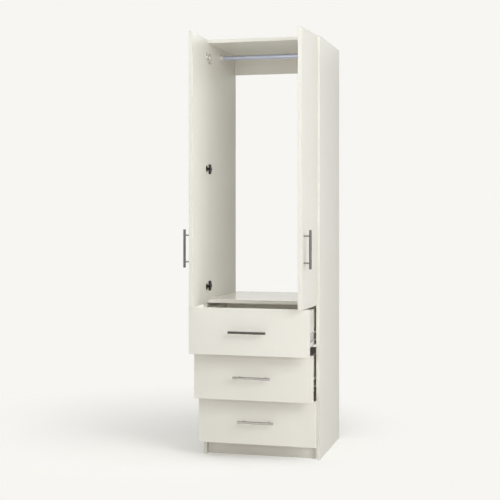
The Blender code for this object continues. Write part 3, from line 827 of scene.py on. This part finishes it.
# All the bars are of one steel, but the top drawer's mirrors something dark and the two below
# it something pale, so each bar's tone is painted to the reflection that it shows.
bar_steels = {
    "door_handle_left": door_bar_steel_painted_dark, "door_handle_right": door_bar_steel_painted_dark,
    "drawer_handle_1": top_bar_steel_painted_dark, "drawer_handle_2": low_bars_steel_painted_pale,
    "drawer_handle_3": low_bars_steel_painted_pale}
for name, bar_steel in bar_steels.items():
    handle(name, bar_steel, posts_steel_painted_reflection)


# The drawer slides: roll-formed zinc-plated steel. The channel on the side panel and the
# member on the drawer box run on hardened balls, which a nylon strip keeps apart.
def bent(path, gauge):
    """The closed outline of sheet bent along a path, with its thickness on the left."""
    inner = []
    for i, point in enumerate(path):
        before = (point - path[i - 1] if i else path[1] - path[0]).normalized()
        after = (path[i + 1] - point if i + 1 < len(path) else before).normalized()
        way = (before + after).normalized()
        leftward = Vector((-way.y, way.x))
        lean = leftward.dot(Vector((-before.y, before.x)))
        inner.append(point + leftward * gauge / lean)
    return path + inner[::-1]


def zinc():
    """Zinc plate, clear passivated: pale grey with a whitish bloom, and long roll lines."""
    made, tree, out = material("zinc_plated_steel")
    place = add(tree, "TexCoord").outputs["Object"]
    along = add(tree, "Mapping", {"Vector": place, "Scale": (1, 0.02, 1)})
    lines = add(tree, "TexNoise", {
        "Vector": along.outputs[0], "Scale": 1 / ROLLING, "Detail": 4})
    bloom = add(tree, "TexNoise", {"Vector": place, "Scale": 1 / SMUDGE, "Detail": 3})
    tint = add(tree, "Mix", {
        0: bloom.outputs["Fac"], 6: linear("#D0D1CD"), 7: linear("#E0E0DC")}, data_type="RGBA")
    rough = add(tree, "MapRange", {
        "Value": lines.outputs["Fac"], "To Min": 0.4, "To Max": 0.55})
    relief = add(tree, "Bump", {
        "Height": lines.outputs["Fac"], "Strength": 0.1, "Distance": 0.0002})
    shader = add(tree, "BsdfPrincipled", {
        "Base Color": tint.outputs[2], "Metallic": 0.5, "Roughness": rough.outputs[0],
        "Normal": relief.outputs[0]})
    tree.links.new(shader.outputs[0], out.inputs["Surface"])
    return made


# A smear of grease is 7 or 8 mm across.
GREASE = 0.0075


def nylon():
    """Moulded nylon, greyish white, with a little dark grease on it."""
    made, tree, out = material("moulded_nylon")
    place = add(tree, "TexCoord").outputs["Object"]
    grease = add(tree, "TexNoise", {"Vector": place, "Scale": 1 / GREASE, "Detail": 3})
    dirty = add(tree, "MapRange", {
        "Value": grease.outputs["Fac"], "From Min": 0.5, "From Max": 0.75})
    tint = add(tree, "Mix", {
        0: dirty.outputs[0], 6: linear("#D6D4CC"), 7: linear("#8D8A80")}, data_type="RGBA")
    shader = add(tree, "BsdfPrincipled", {
        "Base Color": tint.outputs[2], "Roughness": 0.45, "IOR": 1.53})
    tree.links.new(shader.outputs[0], out.inputs["Surface"])
    return made


# The upper half of each bent section, inward from the side panel and up from the middle: the
# channel from its lip to the panel, and the member from its lip through the race to the web.
SLIDE_GAUGE = 0.0012
CHANNEL_CORNERS = [(0.0095, 0.0203), (0.0095, 0.0225), (0, 0.0225), (0, 0)]
CHANNEL_ROUNDINGS = [0, 0.0012, 0.0022, 0]
MEMBER_CORNERS = [
    (0.0020, 0.0190), (0.0036, 0.0187), (0.0055, 0.0180), (0.0076, 0.0186), (0.0102, 0.0192),
    (0.0107, 0.0207), (0.0127, 0.0207)]
MEMBER_ROUNDINGS = [0, 0.002, 0.002, 0.002, 0.0008, 0.0005, 0]
BALL_RADIUS, BALL_INWARD, BALL_HEIGHT = 0.00155, 0.0055, 0.01965
BALL_SPACING, BALL_COUNT, BALL_SETBACK = 0.008, 12, 0.010
KEEPER_TO_BALL = 0.55
FIXED_SCREW_PLACES = (0.035, 0.163, 0.291, 0.451)
MOVING_SCREW_PLACES = (0.030, 0.222, 0.414)
SLIDE_SCREW_HEAD = rounded([(0.0035, 0), (0.0035, 0.0008), (0.0018, 0.0013)], [0, 0.0005, 0])
SLIDE_SCREW_RECESS = 0.0034, 0.0007

zinc_plated = zinc()
keeper_nylon = nylon()


def mirrored(path):
    """A path and its mirror image, from the upper end round to the lower one."""
    return path + [Vector((x, -z)) for x, z in reversed(path)]


def slide_place(low, high, side, panel):
    """The frame of a slide: inward from its side panel, upward, and back along its length."""
    front = Vector((panel, low.y, (low.z + high.z) / 2))
    return Matrix.Translation(front) @ Matrix((
        (-side, 0, 0, 0), (0, 0, 1, 0), (0, 1, 0, 0), (0, 0, 0, 1)))


def slide(side, word, number):
    """A slide's two members, the screws in each, and the balls that run between them."""
    name = f"slide_fixed_{word}_{number}"
    low, high = shut_box(name)
    panel = low.x if side < 0 else high.x
    place = slide_place(low, high, side, panel)
    length = high.y - low.y
    form = bmesh.new()
    path = mirrored(rounded(CHANNEL_CORNERS, CHANNEL_ROUNDINGS)[:-1])
    drawn(form, bent(path, SLIDE_GAUGE), place, 0, length)
    fitted(name + "_channel", form, "carcass", zinc_plated, "slide_zinc", name)
    form = bmesh.new()
    for along in FIXED_SCREW_PLACES:
        seat = place @ Vector((SLIDE_GAUGE, 0, along))
        screw(form, aimed(seat, (-side, 0, 0)), SLIDE_SCREW_HEAD, *SLIDE_SCREW_RECESS)
    fitted(name + "_screws", form, "carcass", zinc_plated, "slide_zinc")
    form = bmesh.new()
    for end in (-1, 1):
        for ball in range(BALL_COUNT):
            back = BALL_SETBACK + ball * BALL_SPACING
            centre = Matrix.Translation(place @ Vector((BALL_INWARD, end * BALL_HEIGHT, back)))
            bmesh.ops.create_icosphere(
                form, subdivisions=2, radius=BALL_RADIUS, matrix=centre)
    fitted(name + "_balls", form, "carcass", chromed, "slide_zinc")
    form = bmesh.new()
    strip = BALL_RADIUS * KEEPER_TO_BALL
    for end in (-1, 1):
        outline = rounded(
            [(BALL_INWARD + 2 * across * strip, end * BALL_HEIGHT + up * strip)
             for across, up in ((-1, -1), (1, -1), (1, 1), (-1, 1))],
            [strip / 2] * 4, steps=2, closed=True)
        rear = BALL_SETBACK * 1.5 + (BALL_COUNT - 1) * BALL_SPACING
        drawn(form, outline, place, BALL_SETBACK / 2, rear)
    fitted(name + "_ball_keeper", form, "carcass", keeper_nylon, "slide_zinc")
    name = f"slide_moving_{word}_{number}"
    body = body_of(name)
    form = bmesh.new()
    path = mirrored(rounded(MEMBER_CORNERS, MEMBER_ROUNDINGS))
    drawn(form, bent(path, -SLIDE_GAUGE), place, 0, length)
    fitted(name + "_member", form, body, zinc_plated, "slide_zinc", name)
    form = bmesh.new()
    web = MEMBER_CORNERS[-1][0] - SLIDE_GAUGE
    for along in MOVING_SCREW_PLACES:
        seat = place @ Vector((web, 0, along))
        screw(form, aimed(seat, (side, 0, 0)), SLIDE_SCREW_HEAD, *SLIDE_SCREW_RECESS)
    fitted(name + "_screws", form, body, zinc_plated, "slide_zinc")


for side, word in ((-1, "left"), (1, "right")):
    for number in (1, 2, 3):
        slide(side, word, number)


# The fixings that hold the rest: screws with wide flat heads through the drawer sides, pan
# heads inside the drawer fronts for the handles, and ivory caps over those in the doors.

# The grain of a mould is about 0.1 mm coarse, drawn at 3 mm to show.
MOULD_GRAIN = 0.003


def ivory_plastic():
    """Moulded plastic coloured to match the melamine, with the faint grain of its mould."""
    made, tree, out = material("moulded_ivory_plastic")
    place = add(tree, "TexCoord").outputs["Object"]
    grain = add(tree, "TexNoise", {"Vector": place, "Scale": 1 / MOULD_GRAIN, "Detail": 3})
    tint = add(tree, "Mix", {
        0: grain.outputs["Fac"], 6: linear("#ECEAE0"), 7: linear("#F0EEE6")}, data_type="RGBA")
    relief = add(tree, "Bump", {
        "Height": grain.outputs["Fac"], "Strength": 0.08, "Distance": 0.0002})
    shader = add(tree, "BsdfPrincipled", {
        "Base Color": tint.outputs[2], "Roughness": 0.42, "Normal": relief.outputs[0], "IOR": 1.5})
    tree.links.new(shader.outputs[0], out.inputs["Surface"])
    return made


CAP = [(0.0052, 0), (0.0052, 0.0004), (0.0046, 0.0009), (0, 0.0011)]
PAN_HEAD = [(0.0040, 0), (0.0040, 0.0012), (0.0034, 0.0020), (0.0022, 0.0023)]
PAN_RECESS = 0.0038, 0.0012
FLAT_HEAD = [(0.0048, -0.0004), (0.0048, 0.0002), (0.0042, 0.0005), (0.0026, 0.0005)]
FLAT_RECESS = 0.0040, 0.0004
BOX_SCREW_HEIGHTS = (0.045, 0.125, 0.185)
BOX_BOARD = 0.016

capped = ivory_plastic()
for word in ("left", "right"):
    low, high = shut_box("door_" + word)
    grip_low, grip_high = shut_box("door_handle_" + word)
    form = bmesh.new()
    for end in (-1, 1):
        height = (grip_low.z + grip_high.z) / 2 + end * POST_SPACING / 2
        seat = ((grip_low.x + grip_high.x) / 2, high.y, height)
        turned(form, CAP, aimed(seat, (0, 1, 0)), sides=32)
    fitted(f"door_screw_caps_{word}", form, "door_" + word, capped, "ivory_board")
for number in (1, 2, 3):
    low, high = shut_box(f"drawer_front_{number}")
    form = bmesh.new()
    for end in (-1, 1):
        seat = Vector((end * POST_SPACING / 2, high.y, (low.z + high.z) / 2))
        screw(form, aimed(seat, (0, 1, 0)), PAN_HEAD, *PAN_RECESS)
    for side, word in ((-1, "left"), (1, "right")):
        panel_low, panel_high = shut_box(f"drawer_side_{word}_{number}")
        face = panel_low.x if side < 0 else panel_high.x
        for up in BOX_SCREW_HEIGHTS:
            seat = Vector((face, panel_high.y - BOX_BOARD / 2, low.z + up))
            screw(form, aimed(seat, (side, 0, 0)), FLAT_HEAD, *FLAT_RECESS)
    fitted(f"drawer_screws_{number}", form, f"drawer_{number}", zinc_plated, "slide_zinc")
